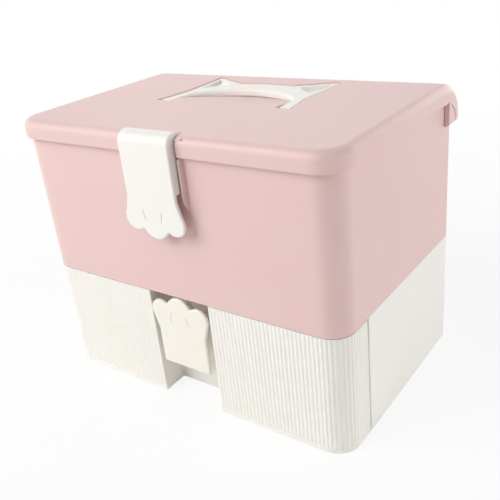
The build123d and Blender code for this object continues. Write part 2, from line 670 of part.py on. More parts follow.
def pocket_shell():
    """The pocket's walls and floor under the lid, before the hollow is cut."""
    outline = offset(handle_outline(), POCKET_GAP + POCKET_WALL, kind=Kind.ARC)
    top = LID_INSIDE_TOP + PAST
    under = block(-LID_HALF_WIDTH, LID_HALF_WIDTH, LID_FRONT, LID_BACK, POCKET_BOTTOM, top)
    return slab_z(outline, POCKET_BOTTOM, top) + (finger_ramp(POCKET_WALL) & under)


def handle_pocket():
    """The hollow that the handle lies in, and the ramp under its arch for the fingers."""
    outline = offset(handle_outline(), POCKET_GAP, kind=Kind.ARC)
    return slab_z(outline, CASE_HEIGHT - POCKET_DEPTH, CASE_HEIGHT + PAST) + finger_ramp(0)


def link_pads():
    """The two pads under the lid that the right tray link is screwed to."""
    pads = Part()
    for y in LINK_SCREW_PLACES:
        pads += rod_z(LINK_SCREW_X, y, BOSS_RADIUS, LINK_FOOT_TOP, LID_INSIDE_TOP + PAST)
        pads -= rod_z(LINK_SCREW_X, y, SCREW_RADIUS + SEAT_GAP, LINK_FOOT_TOP - PAST, LID_INSIDE_TOP - PAST)
    return pads


def ear_slot():
    """The curved slit in the side of the lid's right ear."""
    centre = (LID_BACK - LID_BACK_ROUND, EAR_BOTTOM)
    arc = CenterArc(centre, EAR_SLOT_RADIUS, EAR_SLOT_START, EAR_SLOT_SWEEP)
    return slab_x(trace(arc, EAR_SLOT_WIDTH), LID_HALF_WIDTH - LID_WALL - PAST, LID_HALF_WIDTH + PAST)


def make_lid():
    """The pink lid with its handle pocket, latch notch, hinge knuckles and tray-link pads."""
    lid = lid_shell()
    lid -= block(-NOTCH_HALF, NOTCH_HALF, LID_FRONT - PAST, NOTCH_BACK, EAR_BOTTOM, CASE_HEIGHT + PAST)
    lid += both_sides(latch_cheek())
    lid = with_hinges(lid)
    lid += pocket_shell()
    lid -= handle_pocket()
    pin = rod_x(
        HANDLE_PIVOT, HANDLE_PIN_RADIUS + SEAT_GAP, HANDLE_PIN_INSIDE, HANDLE_PIN_OUTSIDE + PAST
    )
    lid -= both_sides(pin)
    lid += both_sides(link_pads())
    return lid - both_sides(ear_slot())


def latch_head():
    """The latch's rounded top and the barrel that its pin runs through."""
    half = LATCH_WIDTH / 2
    middle = Pos((LATCH_FACE + LATCH_PIVOT_Y) / 2, LATCH_PIVOT_Z)
    profile = middle * Rectangle(LATCH_PIVOT_Y - LATCH_FACE, 2 * LATCH_BARREL_RADIUS)
    front_top = profile.vertices().group_by(Axis.Y)[-1].sort_by(Axis.X)[0]
    profile = fillet(front_top, LATCH_HEAD_ROUND)
    profile += Pos(LATCH_PIVOT_Y, LATCH_PIVOT_Z) * Circle(LATCH_BARREL_RADIUS)
    head = slab_x(profile, -half, half)
    ends = head.faces().sort_by(Axis.X)
    return fillet(ends[0].edges() + ends[-1].edges(), PAW_EDGE_FILLET)


def make_latch():
    """The paw-shaped latch: barrel, hollow strap, toes and the hook that snaps under the keeper."""
    half = LATCH_WIDTH / 2
    plate_back = LATCH_FACE + LATCH_PLATE
    head_bottom = LATCH_PIVOT_Z - LATCH_BARREL_RADIUS
    side_toe_height = LATCH_TOE_TIP + MIDDLE_TOE_RADIUS + MIDDLE_TOE_AHEAD
    toes_down = Pos(0, side_toe_height) * Rot(0, 0, 180)
    paw = toes_down * paw_outline(LATCH_WIDTH, head_bottom + PAST - side_toe_height)
    plate = slab_y(paw, LATCH_FACE, plate_back)
    rim = plate.faces().sort_by(Axis.Y)[0].outer_wire().edges()
    plate = fillet(rim.filter_by(lambda e: e.center().Z < head_bottom), PAW_EDGE_FILLET)
    wall_back = FRONT - 2 * FACE_GAP - LATCH_SIDE_TAPER
    side_wall = Polygon(
        (plate_back - SINK, LATCH_PIVOT_Z),
        (plate_back - SINK, LATCH_STRAP_END),
        (wall_back - LATCH_SIDE_TAPER, LATCH_STRAP_END),
        (wall_back, LATCH_PIVOT_Z),
        align=None,
    )
    latch = latch_head() + plate + both_sides(slab_x(side_wall, half - LATCH_SIDE_WALL, half))
    hook_top = KEEPER_BOTTOM - SLIDE_GAP
    latch += block(
        HOOK_INSET - half,
        half - HOOK_INSET,
        plate_back - SINK,
        FRONT - KEEPER_REACH - FACE_GAP,
        hook_top - HOOK_THICKNESS,
        hook_top,
    )
    latch -= slab_y(toes_down * claw_marks(), LATCH_FACE - PAST, LATCH_FACE + CLAW_DEPTH)
    pivot = (LATCH_PIVOT_Y, LATCH_PIVOT_Z)
    return latch - rod_x(pivot, LATCH_PIN_RADIUS + TURN_GAP, -half - PAST, half + PAST)


def make_latch_pin():
    """The steel pin through the lid's cheeks and the latch's barrel."""
    reach = NOTCH_HALF + LATCH_CHEEK - PAST - SEAT_GAP
    return rod_x((LATCH_PIVOT_Y, LATCH_PIVOT_Z), LATCH_PIN_RADIUS, -reach, reach)


def make_handle():
    """The cat-ear handle with round pivot ends and sunk inner ears."""
    ends = rod_x(HANDLE_PIVOT, HANDLE_THICKNESS / 2, -LEG_FOOT_HALF, LEG_FOOT_HALF)
    behind_ends = block(
        -LEG_FOOT_HALF, LEG_FOOT_HALF, HANDLE_PIVOT[0], EAR_TIP_Y, HANDLE_BOTTOM, HANDLE_TOP
    )
    handle = slab_z(handle_outline(), HANDLE_BOTTOM, HANDLE_TOP) & (ends + behind_ends)
    upper = handle.faces().sort_by(Axis.Z)[-1].outer_wire().edges()
    upper = upper.filter_by(lambda e: e.center().Y > HANDLE_PIVOT[0] + PAST)
    handle = fillet(upper, HANDLE_EDGE_FILLET)
    handle -= both_sides(slab_z(ear_pocket(), HANDLE_TOP - EAR_POCKET_DEPTH, HANDLE_TOP + PAST))
    bore = rod_x(
        HANDLE_PIVOT, HANDLE_PIN_RADIUS + TURN_GAP, HANDLE_PIN_INSIDE - PAST, LEG_FOOT_HALF + PAST
    )
    return handle - both_sides(bore)


def make_handle_pins():
    """Two short pins that the handle's legs turn on, pressed into the pocket's walls."""
    return both_sides(rod_x(HANDLE_PIVOT, HANDLE_PIN_RADIUS, HANDLE_PIN_INSIDE, HANDLE_PIN_OUTSIDE))


def front_line(distance, inset):
    """A point on the drawer front's right half: along the side, round the corner, to the middle."""
    if distance < SIDE_RUN:
        return (HALF_WIDTH - inset, DRAWER_LEG_END - distance)
    if distance < SIDE_RUN + CORNER_RUN:
        turn = (distance - SIDE_RUN) / FRONT_RADIUS
        reach = FRONT_RADIUS - inset
        return (
            HALF_WIDTH - FRONT_RADIUS + reach * cos(turn),
            FRONT + FRONT_RADIUS - reach * sin(turn),
        )
    return (HALF_WIDTH - FRONT_RADIUS - (distance - SIDE_RUN - CORNER_RUN), FRONT + inset)


def ribbed_band():
    """The right half of the drawer front in plan, its outside a row of shallow round ribs."""
    length = SIDE_RUN + CORNER_RUN + HALF_WIDTH - FRONT_RADIUS - RECESS_HALF
    count = round(length / RIB_PITCH)
    valleys = [front_line(length * rib / count, RIB_DEPTH) for rib in range(count + 1)]
    crests = [front_line(length * (rib + 0.5) / count, 0) for rib in range(count)]
    ribs = [ThreePointArc(valleys[rib], crests[rib], valleys[rib + 1]) for rib in range(count)]
    return make_face(ribs + band_inside(valleys[-1], valleys[0]))


def plain_band():
    """The same half of the drawer front without ribs."""
    side_end = (HALF_WIDTH, FRONT + FRONT_RADIUS)
    front_end = (HALF_WIDTH - FRONT_RADIUS, FRONT)
    start = (HALF_WIDTH, DRAWER_LEG_END)
    end = (RECESS_HALF, FRONT)
    outside = [
        Line(start, side_end),
        ThreePointArc(side_end, front_line(SIDE_RUN + CORNER_RUN / 2, 0), front_end),
        Line(front_end, end),
    ]
    return make_face(outside + band_inside(end, start))


def band_inside(outside_end, outside_start):
    """The inner outline that closes a half of the drawer front."""
    side_end = (HALF_WIDTH - DRAWER_WALL, FRONT + FRONT_RADIUS)
    front_end = (HALF_WIDTH - FRONT_RADIUS, FRONT + DRAWER_WALL)
    leg_end = (HALF_WIDTH - DRAWER_WALL, DRAWER_LEG_END)
    recess_edge = (RECESS_HALF, FRONT + DRAWER_WALL)
    return [
        Line(outside_end, recess_edge),
        Line(recess_edge, front_end),
        ThreePointArc(front_end, front_line(SIDE_RUN + CORNER_RUN / 2, DRAWER_WALL), side_end),
        Line(side_end, leg_end),
        Line(leg_end, outside_start),
    ]


def make_drawer_front():
    """The white ribbed front that wraps both corners, with the finger recess in its middle."""
    band_top = DRAWER_GROUND_GAP + PLAIN_BAND
    half = slab_z(plain_band(), DRAWER_GROUND_GAP, band_top)
    half += slab_z(ribbed_band(), band_top, DRAWER_TOP)
    slant = Polygon(
        (DRAWER_LEG_END, 0),
        (DRAWER_LEG_END + PAST, 0),
        (DRAWER_LEG_END + PAST, SPLIT_HEIGHT),
        (DRAWER_LEG_END - SEAM_SLANT, SPLIT_HEIGHT),
        align=None,
    )
    half -= slab_x(slant, HALF_WIDTH - DRAWER_WALL - PAST, HALF_WIDTH + PAST)
    recess = plan(
        RECESS_HALF + RECESS_WALL,
        FRONT + RIB_DEPTH,
        RECESS_BACK + RECESS_WALL,
        SINK,
        RECESS_WALL + INSIDE_FILLET,
    )
    recess -= plan(RECESS_HALF, FRONT - PAST, RECESS_BACK, SINK, INSIDE_FILLET)
    front = both_sides(half) + slab_z(recess, DRAWER_GROUND_GAP, DRAWER_TOP)
    return front - pull_screw_holes(RECESS_BACK, RECESS_BACK + RECESS_WALL)


def pull_screw_holes(y_low, y_high):
    """Clearance holes for the drawer pull's two screws through one wall."""
    hole = rod_y(PULL_POST_PITCH / 2, PULL_POST_HEIGHT, SCREW_RADIUS + FACE_GAP, y_low - PAST, y_high + PAST)
    return both_sides(hole)


def make_drawer_box():
    """The white drawer tub behind the front, notched round the recess and divided into five."""
    corner = FRONT_RADIUS - DRAWER_WALL
    outline = plan(TUB_HALF, TUB_FRONT, TUB_BACK, corner, TUB_BACK_RADIUS)
    outline -= Pos(0, TUB_FRONT) * Rectangle(2 * TUB_NOTCH_HALF, 2 * (TUB_NOTCH_BACK - TUB_FRONT))
    inside = plan(
        TUB_HALF - TUB_WALL,
        TUB_FRONT + TUB_WALL,
        TUB_BACK - TUB_WALL,
        corner - TUB_WALL,
        TUB_BACK_RADIUS - TUB_WALL,
    )
    inside -= Pos(0, TUB_FRONT) * Rectangle(
        2 * (TUB_NOTCH_HALF + TUB_WALL), 2 * (TUB_NOTCH_BACK + TUB_WALL - TUB_FRONT)
    )
    body = tub(outline, inside, TUB_BOTTOM, TUB_TOP, TUB_WALL)
    partition_top = TUB_TOP - 2 * TUB_WALL
    half = TUB_PARTITION / 2
    floor = TUB_BOTTOM + TUB_WALL / 2
    side = TUB_HALF - TUB_WALL / 2
    body += block(-side, side, TUB_SPLIT_Y - half, TUB_SPLIT_Y + half, floor, partition_top)
    upright = block(
        TUB_SPLIT_X - half, TUB_SPLIT_X + half, TUB_SPLIT_Y, TUB_BACK - TUB_WALL / 2, floor, partition_top
    )
    body += both_sides(upright)
    return body - pull_screw_holes(TUB_NOTCH_BACK, TUB_NOTCH_BACK + TUB_WALL)


def make_drawer_pull():
    """The paw-shaped pull, toes up, on two posts that reach the back of the recess."""
    side_toe_height = PULL_TOE_TIP - MIDDLE_TOE_RADIUS - MIDDLE_TOE_AHEAD
    toes_up = Pos(0, side_toe_height)
    paw = toes_up * paw_outline(PULL_WRIST_WIDTH, side_toe_height - PULL_BOTTOM)
    plate_back = PULL_FACE + PULL_PLATE
    pull = slab_y(paw, PULL_FACE, plate_back)
    pull = fillet(pull.faces().sort_by(Axis.Y)[0].outer_wire().edges(), PAW_EDGE_FILLET)
    pull -= slab_y(toes_up * claw_marks(), PULL_FACE - PAST, PULL_FACE + CLAW_DEPTH)
    x = PULL_POST_PITCH / 2
    post = rod_y(x, PULL_POST_HEIGHT, PULL_POST_RADIUS, plate_back - SINK, RECESS_BACK)
    post -= rod_y(x, PULL_POST_HEIGHT, SCREW_RADIUS + SEAT_GAP, plate_back + PULL_PLATE, RECESS_BACK + PAST)
    return pull + both_sides(post)


def make_pull_screws():
    """Two screws from inside the tub, through the recess wall, into the pull's posts."""
    x = PULL_POST_PITCH / 2
    seat = TUB_NOTCH_BACK + TUB_WALL
    screw = rod_y(x, PULL_POST_HEIGHT, SCREW_HEAD_RADIUS, seat, seat + SCREW_HEAD_HEIGHT)
    screw += rod_y(x, PULL_POST_HEIGHT, SCREW_RADIUS, RECESS_BACK - SCREW_LENGTH, seat)
    return both_sides(screw)


def open_tray(half_width, back, bottom, top):
    """A shallow tray without partitions."""
    radius = TRAY_CORNER_RADIUS
    inner_radius = radius - TRAY_WALL
    outline = plan(half_width, TRAY_FRONT, back, radius, radius)
    inside = plan(
        half_width - TRAY_WALL, TRAY_FRONT + TRAY_WALL, back - TRAY_WALL, inner_radius, inner_radius
    )
    return tub(outline, inside, bottom, top, TRAY_WALL)


def tray_partition(x_low, x_high, y_low, y_high, bottom, top):
    """A thin wall in a tray, a little lower than its rim."""
    return block(x_low, x_high, y_low, y_high, bottom + TRAY_WALL / 2, top - 2 * TRAY_WALL)


def pivot_hole(place, radius):
    """A hole through the right side of the linkage at a (Y, Z) pivot."""
    return rod_x(place, radius, TRAY_HALF_WIDTH - 2 * TRAY_WALL, HALF_WIDTH)


def make_upper_tray():
    """The upper tray: six compartments, and a round boss for each of its four pivots."""
    half = UPPER_TRAY_HALF
    bottom = UPPER_TRAY_BOTTOM
    top = UPPER_TRAY_TOP
    side = half - TRAY_WALL / 2
    thin = TRAY_PARTITION / 2
    tray = open_tray(half, UPPER_TRAY_BACK, bottom, top)
    middle = (TRAY_FRONT + UPPER_TRAY_BACK) / 2
    tray += tray_partition(-side, side, middle - thin, middle + thin, bottom, top)
    third = half / 3
    front = TRAY_FRONT + TRAY_WALL / 2
    back = UPPER_TRAY_BACK - TRAY_WALL / 2
    tray += both_sides(tray_partition(third - thin, third + thin, front, back, bottom, top))
    for place in (LID_PIVOTS[1], ARM_ENDS[1]):
        tray += both_sides(rod_x(place, LINK_HALF_HEIGHT, side, EAR_OUTSIDE))
        tray -= both_sides(pivot_hole(place, PIVOT_PIN_RADIUS + SEAT_GAP))
    return tray


def make_lower_tray():
    """The lower tray: three compartments, and an upright ear for each of its four pivots."""
    half = TRAY_HALF_WIDTH
    bottom = LOWER_TRAY_BOTTOM
    top = LOWER_TRAY_TOP
    side = half - TRAY_WALL / 2
    thin = TRAY_PARTITION / 2
    tray = open_tray(half, LOWER_TRAY_BACK, bottom, top)
    split = LOWER_TRAY_BACK - LINK_STEP
    tray += tray_partition(-side, side, split - thin, split + thin, bottom, top)
    tray += tray_partition(-thin, thin, split, LOWER_TRAY_BACK - TRAY_WALL / 2, bottom, top)
    tray += both_sides(tray_ears())
    for place in (LID_PIVOTS[0], ARM_ENDS[0]):
        tray -= both_sides(pivot_hole(place, PIVOT_PIN_RADIUS + SEAT_GAP))
    return tray


def tray_ears():
    """The lower tray's right ears: upright for the arm, leaning back for the lid link."""
    foot = LOWER_TRAY_TOP - EAR_FOOT_DROP
    half = LINK_HALF_HEIGHT
    front_y, front_z = ARM_ENDS[0]
    upright = Polygon(
        (front_y - 2 * half, foot),
        (front_y + 2 * half, foot),
        (front_y + half, front_z),
        (front_y - half, front_z),
        align=None,
    )
    back_y, back_z = LID_PIVOTS[0]
    flat_end = LOWER_TRAY_BACK - TRAY_CORNER_RADIUS
    leaning = Polygon(
        (flat_end - 4 * half, foot),
        (flat_end, foot),
        (LOWER_TRAY_BACK, LOWER_TRAY_TOP - PAST),
        (back_y + half, back_z),
        (back_y - half, back_z + PAST),
        align=None,
    )
    outline = upright + Pos(front_y, front_z) * Circle(half)
    ears = slab_x(outline, TRAY_HALF_WIDTH - SINK, EAR_OUTSIDE)
    outline = leaning + Pos(back_y, back_z) * Circle(half)
    ears += slab_x(outline, TRAY_HALF_WIDTH - SINK, EAR_OUTSIDE)
    beside_upper_tray = block(
        TRAY_HALF_WIDTH - PAST, TRAY_HALF_WIDTH, TRAY_FRONT, HINGE_Y, LOWER_TRAY_TOP, CASE_HEIGHT
    )
    return ears - beside_upper_tray


def make_lid_link():
    """The right tray link: a plate under the lid with a screwed foot and two pivot holes."""
    bottom = HINGE_HEIGHT - LINK_HALF_HEIGHT
    near, far = LID_PIVOTS
    web = Polygon(
        (far[0], bottom),
        (near[0], bottom),
        (LINK_FOOT_BACK, HINGE_HEIGHT),
        (LINK_FOOT_BACK, LINK_FOOT_TOP),
        (LINK_FOOT_FRONT, LINK_FOOT_TOP),
        (far[0], HINGE_HEIGHT + LINK_HALF_HEIGHT),
        align=None,
    )
    plate = web + Pos(*near) * Circle(LINK_HALF_HEIGHT) + Pos(*far) * Circle(LINK_HALF_HEIGHT)
    link = slab_x(plate, LINK_INSIDE, LINK_OUTSIDE)
    link += block(
        LINK_OUTSIDE - LINK_FOOT_WIDTH,
        LINK_OUTSIDE,
        LINK_FOOT_FRONT,
        LINK_FOOT_BACK,
        LINK_FOOT_BOTTOM,
        LINK_FOOT_TOP,
    )
    for place in LID_PIVOTS:
        link -= pivot_hole(place, PIVOT_PIN_RADIUS + TURN_GAP)
    for y in LINK_SCREW_PLACES:
        link -= rod_z(LINK_SCREW_X, y, SCREW_RADIUS + FACE_GAP, LINK_FOOT_BOTTOM - PAST, LINK_FOOT_TOP + PAST)
    return link


def make_link_screws():
    """Four screws that hold the tray links on the lid's pads."""
    screws = Part()
    for y in LINK_SCREW_PLACES:
        screws += rod_z(
            LINK_SCREW_X, y, SCREW_HEAD_RADIUS, LINK_FOOT_BOTTOM - SCREW_HEAD_HEIGHT, LINK_FOOT_BOTTOM
        )
        screws += rod_z(LINK_SCREW_X, y, SCREW_RADIUS, LINK_FOOT_BOTTOM, LID_INSIDE_TOP - PAST - FACE_GAP)
    return both_sides(screws)


def make_front_arm():
    """The right front arm: a flat bar with a counterbored hole for the case and one per tray."""
    bar = Pos(*ARM_ENDS[0]) * SlotOverall(2 * (LINK_STEP + LINK_HALF_HEIGHT), 2 * LINK_HALF_HEIGHT)
    arm = slab_x(bar, LINK_INSIDE, LINK_OUTSIDE)
    for place in (ARM_PIVOT, *ARM_ENDS):
        arm -= pivot_hole(place, PIVOT_PIN_RADIUS + TURN_GAP)
    sunk = LINK_INSIDE + PIVOT_HEAD + TURN_GAP
    return arm - rod_x(ARM_PIVOT, PIVOT_HEAD_RADIUS + FACE_GAP, LINK_INSIDE - PAST, sunk)


def tray_pins(places, tip):
    """The pins of one tray, heads outside the links, tips in the tray's bosses or ears."""
    head = LINK_OUTSIDE + FACE_GAP
    pins = Part()
    for place in places:
        pins += rod_x(place, PIVOT_PIN_RADIUS, tip, head)
        pins += rod_x(place, PIVOT_HEAD_RADIUS, head, head + PIVOT_HEAD)
    return both_sides(pins)


right_link = make_lid_link()
right_arm = make_front_arm()
PARTS = {
    "lower_housing": make_lower_housing(),
    "upper_case": make_upper_case(),
    "case_screws": make_case_screws(),
    "hinge_pins": make_hinge_pins(),
    "arm_pins": make_arm_pins(),
    "lid": make_lid(),
    "latch_pin": make_latch_pin(),
    "handle_pins": make_handle_pins(),
    "lid_link_right": right_link,
    "lid_link_left": mirror(right_link, about=Plane.YZ),
    "link_screws": make_link_screws(),
    "latch": make_latch(),
    "handle": make_handle(),
    "drawer_front": make_drawer_front(),
    "drawer_box": make_drawer_box(),
    "drawer_pull": make_drawer_pull(),
    "pull_screws": make_pull_screws(),
    "upper_tray": make_upper_tray(),
    "upper_tray_pins": tray_pins([LID_PIVOTS[1], ARM_ENDS[1]], UPPER_TRAY_HALF - TRAY_WALL / 2),
    "lower_tray": make_lower_tray(),
    "lower_tray_pins": tray_pins([LID_PIVOTS[0], ARM_ENDS[0]], TRAY_HALF_WIDTH),
    "front_arm_right": right_arm,
    "front_arm_left": mirror(right_arm, about=Plane.YZ),
}

for name, solid in PARTS.items():
    export_step(solid, f"parts/{name}.step")
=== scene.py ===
from math import cos, pi, radians, sin

import bpy
from mathutils import Matrix, Vector


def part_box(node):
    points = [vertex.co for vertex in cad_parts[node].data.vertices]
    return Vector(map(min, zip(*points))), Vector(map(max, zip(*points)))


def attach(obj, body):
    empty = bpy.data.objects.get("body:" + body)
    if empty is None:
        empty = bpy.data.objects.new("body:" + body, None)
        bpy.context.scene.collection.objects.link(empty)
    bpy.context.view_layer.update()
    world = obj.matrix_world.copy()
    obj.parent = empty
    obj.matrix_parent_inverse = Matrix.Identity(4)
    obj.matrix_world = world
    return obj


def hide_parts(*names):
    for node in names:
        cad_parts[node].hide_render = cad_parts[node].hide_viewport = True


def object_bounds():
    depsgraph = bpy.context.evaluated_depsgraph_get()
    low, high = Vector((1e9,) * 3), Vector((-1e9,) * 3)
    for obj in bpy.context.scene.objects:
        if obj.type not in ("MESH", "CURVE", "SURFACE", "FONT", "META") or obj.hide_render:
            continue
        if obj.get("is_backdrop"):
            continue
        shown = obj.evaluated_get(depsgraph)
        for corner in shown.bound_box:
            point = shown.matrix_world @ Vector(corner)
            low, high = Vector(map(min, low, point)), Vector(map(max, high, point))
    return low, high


# A plastic makeup case about 33 cm wide: a white ribbed drawer storey, a pink trunk, a pink hinged
# lid with a flat cat-ear handle, a paw-shaped latch, and two trays inside that rise with the lid.
# Metres, +Z up, the origin on the ground under the middle of the body, -Y the front.
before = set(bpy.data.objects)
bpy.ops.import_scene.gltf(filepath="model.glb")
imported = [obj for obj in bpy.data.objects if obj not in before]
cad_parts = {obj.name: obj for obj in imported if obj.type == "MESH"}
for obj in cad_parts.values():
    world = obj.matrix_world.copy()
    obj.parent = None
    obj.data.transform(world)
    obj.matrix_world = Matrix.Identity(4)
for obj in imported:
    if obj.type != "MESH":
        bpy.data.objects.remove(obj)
cad_low, cad_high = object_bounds()


# Lower housing. The white sleeve that the drawer slides in: floor, two sides, back and the flange
# under the trunk. Polypropylene, injection moulded in one shot, so it is one even warm white with
# a fine satin grain from the eroded mould.
MM = 0.001


def linear(code):
    """A #rrggbb sRGB colour as the linear RGBA that a shader socket takes."""
    channels = [int(code[i : i + 2], 16) / 255 for i in (1, 3, 5)]
    return [c / 12.92 if c <= 0.04045 else ((c + 0.055) / 1.055) ** 2.4 for c in channels] + [1.0]


def add(tree, kind, settings=None, **links):
    """A new node of this kind. Settings fill its properties and sockets, and links join its inputs
    to other nodes' sockets: Base_Color=socket by name, n0=socket by number."""
    node = tree.nodes.new("ShaderNode" + kind)
    for key, value in (settings or {}).items():
        if isinstance(key, int) or key in node.inputs:
            node.inputs[key].default_value = value
        else:
            setattr(node, key, value)
    for key, socket in links.items():
        target = int(key[1:]) if key[0] == "n" and key[1:].isdigit() else key.replace("_", " ")
        tree.links.new(socket, node.inputs[target])
    return node


def new_material(name):
    """A material with an empty node tree, and the tree."""
    material = bpy.data.materials.new(name)
    material.use_nodes = True
    material.node_tree.nodes.clear()
    return material, material.node_tree


def moulded_plastic(name, body, shade, roughness, grain, edge, glow, depth):
    """Moulded plastic: a body colour that drifts to a shade, a satin grain, rubbed soft edges, and
    light that soaks in to this depth and comes out a little warmer, more of it as glow nears 1."""
    material, tree = new_material(name)
    place = add(tree, "TexCoord").outputs["Object"]

    # The pigment drifts a little over a hand's breadth, as the melt filled the mould.
    drift_width = 70 * MM
    drift = add(tree, "TexNoise", {"Scale": 1 / drift_width, "Detail": 2.0}, Vector=place)
    tint = {"data_type": "RGBA", 6: linear(body), 7: linear(shade)}
    tinted = add(tree, "Mix", tint, n0=drift.outputs["Fac"]).outputs[2]

    # Where the rounded normal leaves the true one, the surface is at an edge, and rubbing has made
    # it a little lighter there. The product of the two normals is 1 on a flat.
    edge_begins, edge_full = 0.995, 0.85
    most_light = 0.25
    flat = add(tree, "NewGeometry").outputs["Normal"]
    rounded = add(tree, "Bevel", {"samples": 6, "Radius": edge}).outputs["Normal"]
    product = {"operation": "DOT_PRODUCT"}
    turn = add(tree, "VectorMath", product, n0=flat, n1=rounded).outputs["Value"]
    edge_range = {"From Min": edge_begins, "From Max": edge_full}
    rubbed = add(tree, "MapRange", edge_range, Value=turn).outputs["Result"]
    portion = {"operation": "MULTIPLY", 1: most_light}
    light = add(tree, "Math", portion, n0=rubbed).outputs[0]
    lighten = {"data_type": "RGBA", "blend_type": "SCREEN", 7: linear("#3a3a3a")}
    colour = add(tree, "Mix", lighten, n0=light, n6=tinted).outputs[2]

    # Handling leaves shinier and duller patches the size of a fingertip.
    patch_width = 18 * MM
    shinier, duller = roughness - 0.05, roughness + 0.07
    handled = add(tree, "TexNoise", {"Scale": 1 / patch_width, "Detail": 4.0}, Vector=place)
    gloss_range = {"To Min": shinier, "To Max": duller}
    gloss = add(tree, "MapRange", gloss_range, Value=handled.outputs["Fac"]).outputs["Result"]

    # The satin grain is 0.15 mm on the real part, drawn coarser so that it shows in the render.
    grain_width, grain_height = 0.7 * MM, 0.05 * MM
    satin = add(tree, "TexNoise", {"Scale": 1 / grain_width, "Detail": 2.0}, Vector=place)
    relief = {"Strength": grain, "Distance": grain_height}
    bump = add(tree, "Bump", relief, Height=satin.outputs["Fac"], Normal=rounded)

    # 1.49 is polypropylene's index. Red soaks in a little further than green and blue.
    skin = {
        "IOR": 1.49,
        "Subsurface Weight": glow,
        "Subsurface Scale": depth,
        "Subsurface Radius": (1.0, 0.98, 0.96),
    }
    shader = add(
        tree,
        "BsdfPrincipled",
        skin,
        Base_Color=colour,
        Roughness=gloss,
        Normal=bump.outputs["Normal"],
    )
    add(tree, "OutputMaterial", Surface=shader.outputs["BSDF"])
    return material


def give_finish(node_names, material):
    """Gives CAD nodes their material in place of the plain one they came with."""
    for name in node_names:
        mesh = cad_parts[name].data
        mesh.materials.clear()
        mesh.materials.append(material)


white_plastic = moulded_plastic(
    "white_satin_polypropylene",
    body="#fefaf2",
    shade="#fcf7ee",
    roughness=0.44,
    grain=0.45,
    edge=0.6 * MM,
    glow=0.5,
    depth=1.4 * MM,
)
give_finish(["lower_housing"], white_plastic)


# Drawer. The ribbed front that wraps both front corners, and the tub with the compartments behind
# it. Two mouldings of the housing's white polypropylene that slide as one.
give_finish(["drawer_front", "drawer_box"], white_plastic)


# Drawer pull. A paw-shaped plate of cream ABS with a smooth satin skin, toes up. Two screws from
# inside the drawer hold it in the finger recess.
cream_plastic = moulded_plastic(
    "cream_satin_abs",
    body="#fdf7ec",
    shade="#faf3e7",
    roughness=0.36,
    grain=0.2,
    edge=0.8 * MM,
    glow=0.5,
    depth=1.5 * MM,
)
give_finish(["drawer_pull"], cream_plastic)


# Upper case and lid. The pink trunk, and the lid that closes over it. Each is one moulding of
# polypropylene with the pigment in the plastic, so the colour is the same inside and out.
pink_plastic = moulded_plastic(
    "pink_satin_polypropylene",
    body="#ecccc8",
    shade="#e8c7c3",
    roughness=0.42,
    grain=0.45,
    edge=0.8 * MM,
    glow=0.15,
    depth=1.2 * MM,
)
give_finish(["upper_case", "lid"], pink_plastic)


# Latch and handle. The paw-shaped latch, toes down, and the handle that folds flat into the lid.
# Moulded on their own in a glossier ivory ABS, so they catch small soft highlights.
bright_plastic = moulded_plastic(
    "ivory_gloss_abs",
    body="#fbf8f2",
    shade="#f8f4ed",
    roughness=0.38,
    grain=0.3,
    edge=0.8 * MM,
    glow=0.2,
    depth=1.2 * MM,
)
give_finish(["latch", "handle"], bright_plastic)


# Tray linkage. The plates under the lid, the arms on the case, and the pins that both trays and
# the arms turn on. Small mouldings of the same ivory ABS.
give_finish(["lid_link_right", "lid_link_left"], bright_plastic)
give_finish(["front_arm_right", "front_arm_left"], bright_plastic)
give_finish(["arm_pins", "upper_tray_pins", "lower_tray_pins"], bright_plastic)


# Trays. Two thin mouldings of natural polypropylene with no pigment, so a cooler white than the
# housing, with a smoother skin. They hang from the pins of the plates and the arms.
tray_plastic = moulded_plastic(
    "natural_tray_polypropylene",
    body="#edebe6",
    shade="#e8e6e1",
    roughness=0.34,
    grain=0.2,
    edge=0.6 * MM,
    glow=0.3,
    depth=1.2 * MM,
)
give_finish(["upper_tray", "lower_tray"], tray_plastic)


# Pins. Drawn steel wire cut to length and zinc plated, so grey with a soft sheen. They hold the
# hinges, the latch and the handle, and only their ends show.
CRYSTAL_WIDTH = 0.8 * MM  # far finer on the real plating, drawn coarser so that it shows
CRYSTAL_HEIGHT = 0.03 * MM
SHINY, DULL = 0.25, 0.4
steel, tree = new_material("zinc_plated_steel")
place = add(tree, "TexCoord").outputs["Object"]
crystals = add(tree, "TexVoronoi", {"Scale": 1 / CRYSTAL_WIDTH}, Vector=place).outputs["Distance"]
zinc = {"data_type": "RGBA", 6: linear("#b9bbbd"), 7: linear("#a3a6aa")}
plating = add(tree, "Mix", zinc, n0=crystals).outputs[2]
dulled = add(tree, "MapRange", {"To Min": SHINY, "To Max": DULL}, Value=crystals).outputs["Result"]
relief = {"Strength": 0.2, "Distance": CRYSTAL_HEIGHT}
facets = add(tree, "Bump", relief, Height=crystals).outputs["Normal"]
metal = {"Metallic": 1.0}
shader = add(tree, "BsdfPrincipled", metal, Base_Color=plating, Roughness=dulled, Normal=facets)
add(tree, "OutputMaterial", Surface=shader.outputs["BSDF"])
give_finish(["hinge_pins", "latch_pin", "handle_pins"], steel)


